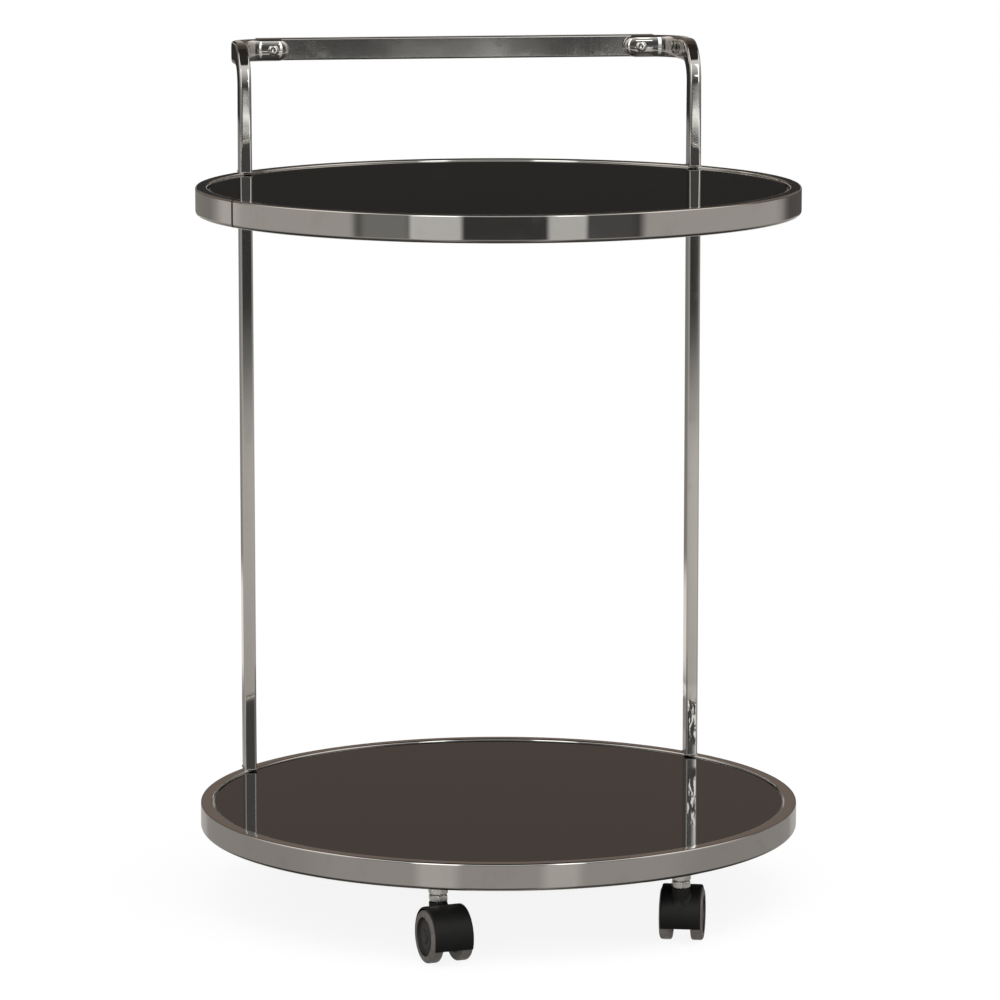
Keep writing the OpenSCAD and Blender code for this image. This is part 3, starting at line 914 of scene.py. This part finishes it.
def join_parts(name, parts, finish, sharp=35.0, where=None):
    points, faces = [], []
    for made, sides in parts:
        faces += [tuple(k + len(points) for k in f) for f in sides]
        points += [tuple(p) for p in made]
    return make(name, points, faces, finish, sharp, where)


def arch(profile, steps=56):
    """A closed (x, radius) profile swept over the wheels, cut level at the hood's lower edge."""
    loops = []
    for i in range(steps + 1):
        t = i / steps
        loop = []
        for x, r in profile:
            dip = math.asin((WHEEL_R - HOOD_FLOOR) / r)
            a = -dip + (math.pi + 2 * dip) * t
            loop.append((x, -TRAIL + r * math.cos(a), WHEEL_R + r * math.sin(a)))
        loops.append(loop)
    return loft(loops)


def hood_parts():
    """Arch with soft shoulders, web between the wheels, and the neck rising out of the arch."""
    half, ease = HOOD_HALF, 1.5 * MM
    outer = [(half - 0.2 * MM, HOOD_INNER + 0.05 * MM)]
    outer += [(half - ease + ease * math.cos(t), HOOD_R - ease * 0.72 + ease * 0.72 * math.sin(t))
              for t in (math.pi / 2 * k / 7 for k in range(8))]
    outer += [(x, HOOD_R) for x in (10 * MM, 5 * MM, 0.0)]
    inner = [(half - 0.7 * MM, HOOD_INNER), (WEB_HALF + 2 * MM, HOOD_INNER), (WEB_HALF, HOOD_INNER)]
    right = outer
    left = [(-x, r) for x, r in reversed(outer[:-1])]
    profile = right + left + [(-x, r) for x, r in inner] + list(reversed(inner))
    shell = arch(profile)

    web_r, web_half, chamfer = HOOD_R - 0.4 * MM, WEB_HALF, 0.8 * MM
    loops = []
    for x, cut in ((-web_half, chamfer), (-web_half + chamfer, 0.0), (web_half - chamfer, 0.0),
                   (web_half, chamfer)):
        r = web_r - cut
        dip = math.asin((WHEEL_R - HOOD_FLOOR - cut * 0.4) / r)
        loops.append([(x, -TRAIL + r * math.cos(a), WHEEL_R + r * math.sin(a)) for a in
                      (-dip + (math.pi + 2 * dip) * k / 48 for k in range(49))])
    web = loft(loops)

    neck_r, bore_r, steps = 7.0 * MM, 2.8 * MM, 72

    def arch_height(y, r):
        return WHEEL_R + math.sqrt(max(r * r - (y + TRAIL) ** 2, 0.0))

    loops = []
    for lift, grow in ((-1.3, 2.2), (0.0, 1.9), (0.35, 1.1), (0.9, 0.5), (1.8, 0.12), (3.0, 0.0)):
        loop = []
        for i in range(steps):
            a = math.tau * i / steps
            r = neck_r + grow * MM * (0.4 + 0.6 * max(-math.cos(a + math.pi / 2), 0.0))
            y = r * math.sin(a)
            z = min(arch_height(y, HOOD_R) + lift * MM, NECK_TOP - 0.9 * MM + lift * 0.02 * MM)
            loop.append((r * math.cos(a), y, z))
        loops.append(loop)
    loops += turned([(neck_r, NECK_TOP - 0.7 * MM), (neck_r - 0.25 * MM, NECK_TOP - 0.2 * MM),
                     (neck_r - 0.8 * MM, NECK_TOP), (4.6 * MM, NECK_TOP), (4.3 * MM, NECK_TOP - 0.9 * MM),
                     (bore_r + 0.3 * MM, NECK_TOP - 1.0 * MM), (bore_r, NECK_TOP - 1.3 * MM),
                     (bore_r, WHEEL_R + 9 * MM)], steps)
    neck = loft(loops)
    return [shell, web, neck]


def wheel_piece(name, side, place):
    """One moulded wheel: crowned tread, pale rim lip, ribbed dark dish and a domed hub cap."""
    u0, u1 = WHEEL_IN, WHEEL_OUT
    edge = 2.2 * MM
    rows = [(0.4 * MM, u0), (2.1 * MM, u0), (6.4 * MM, u0), (6.8 * MM, u0 + 0.5 * MM),
            (13.4 * MM, u0 + 0.5 * MM), (13.8 * MM, u0)]
    rows += [(WHEEL_R - 1.8 * MM + 1.8 * MM * math.sin(t), u0 + 1.8 * MM - 1.8 * MM * math.cos(t))
             for t in (math.pi / 2 * k / 7 for k in range(8))]
    rows += [(WHEEL_R - edge + edge * math.cos(t), u1 - edge + edge * math.sin(t))
             for t in (math.pi / 2 * k / 9 for k in range(10))]
    rows += [(DISH_R + 0.6 * MM, u1), (DISH_R + 0.2 * MM, u1 - 0.12 * MM), (DISH_R, u1 - 0.5 * MM),
             (DISH_R - 0.3 * MM, u1 - 1.6 * MM), (DISH_R - 0.9 * MM, u1 - 2.0 * MM),
             (DISH_R - 1.6 * MM, u1 - 1.9 * MM), (11.0 * MM, u1 - 1.5 * MM),
             (9.0 * MM, u1 - 1.15 * MM), (7.2 * MM, u1 - 0.95 * MM), (6.3 * MM, u1 - 0.9 * MM),
             (5.9 * MM, u1 - 1.15 * MM), (5.5 * MM, u1 - 1.2 * MM), (5.1 * MM, u1 - 0.9 * MM),
             (4.4 * MM, u1 - 0.55 * MM), (2.6 * MM, u1 - 0.42 * MM), (0.3 * MM, u1 - 0.4 * MM)]
    steps = 120

    loops = [[(side * u, -TRAIL + r * math.cos(a), WHEEL_R + r * math.sin(a))
              for a in (math.tau * i / steps for i in range(steps))] for r, u in rows]
    points, faces = loft(loops)
    piece = make(name, points, faces, "rim", 40, place)
    piece.data.materials.append(FINISH["dish"])
    back = place.inverted()
    for polygon in piece.data.polygons:
        c = back @ polygon.center
        r = math.hypot(c.y + TRAIL, c.z - WHEEL_R)
        if r < DISH_R + 0.1 * MM:
            polygon.material_index = 1
    return piece


def six_sided(angle, flats):
    off = (angle + math.pi / 6) % (math.pi / 3) - math.pi / 6
    return flats / 2 / math.cos(off)


def hexagon_loops(z0, z1, flats, turn=0.0, steps=120, chamfer=0.9 * MM):
    """Loops of a hexagonal bar whose corners are chamfered at both faces."""
    loops = []
    for z, cut in ((z0, 1.0), (z0 + chamfer * 0.35, 0.62), (z0 + chamfer, 0.0),
                   (z1 - chamfer, 0.0), (z1 - chamfer * 0.35, 0.62), (z1, 1.0)):
        round_r = flats / 2 * (1.155 - 0.165 * cut)
        loops.append([(min(six_sided(a - turn, flats), round_r) * math.cos(a),
                       min(six_sided(a - turn, flats), round_r) * math.sin(a), z)
                      for a in (math.tau * i / steps for i in range(steps))])
    return loops


def threaded_loops(z0, z1, radius, pitch=1.25 * MM, depth=0.45 * MM, steps=120):
    """A helical thread whose crest stays inside radius."""
    rows = max(4, int((z1 - z0) / (pitch / 8)))
    loops = []
    for k in range(rows + 1):
        z = z0 + (z1 - z0) * k / rows
        loop = []
        for i in range(steps):
            a = math.tau * i / steps
            phase = (z / pitch - a / math.tau) % 1.0
            r = radius - depth * abs(2 * phase - 1) * min(1.0, (z1 - z) / (0.5 * MM) + 0.3)
            loop.append((r * math.cos(a), r * math.sin(a), z))
        loops.append(loop)
    return loops


def stem_piece(name, place):
    """Swivel pin, chamfered hexagonal collar and threaded stud in one piece."""
    low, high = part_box(name + "_stem")
    loops = turned([(2.2 * MM, low.z), (2.75 * MM, low.z + 0.5 * MM), (2.75 * MM, COLLAR_Z)], 120)
    loops += hexagon_loops(COLLAR_Z, NUT_Z - 0.35 * MM, HEX_FLATS)
    loops += turned([(3.4 * MM, NUT_Z - 0.3 * MM), (3.4 * MM, NUT_Z)], 120)
    loops += threaded_loops(NUT_Z, high.z - 0.5 * MM, 4.0 * MM)
    loops += turned([(3.2 * MM, high.z)], 120)
    points, faces = loft(loops)
    return make(name + "_stem_turned", points, faces, "zinc", 30, Matrix.Translation(place.translation))


def nut_piece(name, places):
    parts = []
    for place in places:
        loops = hexagon_loops(NUT_Z, LOWER_Z - 0.02 * MM, HEX_FLATS, math.radians(11))
        loops += turned([(4.5 * MM, LOWER_Z - 0.02 * MM), (4.05 * MM, LOWER_Z - 0.4 * MM),
                         (4.05 * MM, NUT_Z + 0.4 * MM), (4.5 * MM, NUT_Z)], 120)
        points, faces = loft(loops, loop_back=True)
        parts.append(([place.translation + Vector(p) for p in points], faces))
    return join_parts(name, parts, "zinc", 30)


def add_casters():
    dress("caster_lugs", "post_chrome")
    dress("stem_grip_rings", "zinc")
    places = [caster_place(name) for name in CASTERS]
    fit(nut_piece("lock_nuts", places), "frame", "zinc_steel", "caster_lock_nuts")
    for name, place in zip(CASTERS, places):
        fit(stem_piece(name, place), "frame", "zinc_steel", name + "_stem")
        fit(join_parts(name + "_hood", hood_parts(), "hood", 38, place), name + "_caster",
            "black_plastic", name + "_housing")
        dress(name + "_axle", "zinc")
        for letter, side in (("a", -1), ("b", 1)):
            fit(wheel_piece(f"{name}_wheel_{letter}_moulded", side, place),
                f"{name}_wheel_{letter}", "wheel_plastic", f"{name}_wheel_{letter}")
    beads = []
    for place in places:
        inner = RING_OUT - RING_W - 0.35 * MM
        mid = math.atan2(place.translation.y, place.translation.x)
        half = 12 * MM / inner
        beads.append([(inner * math.cos(mid + half * t), inner * math.sin(mid + half * t),
                       LOWER_Z + 6 * MM) for t in (k / 9 - 1 for k in range(19))])
    fit(bead_piece("lug_welds", beads, 1.1 * MM, 0.4), "frame", "polished_chrome")


add_room()
add_tiers()
add_posts()
add_casters()
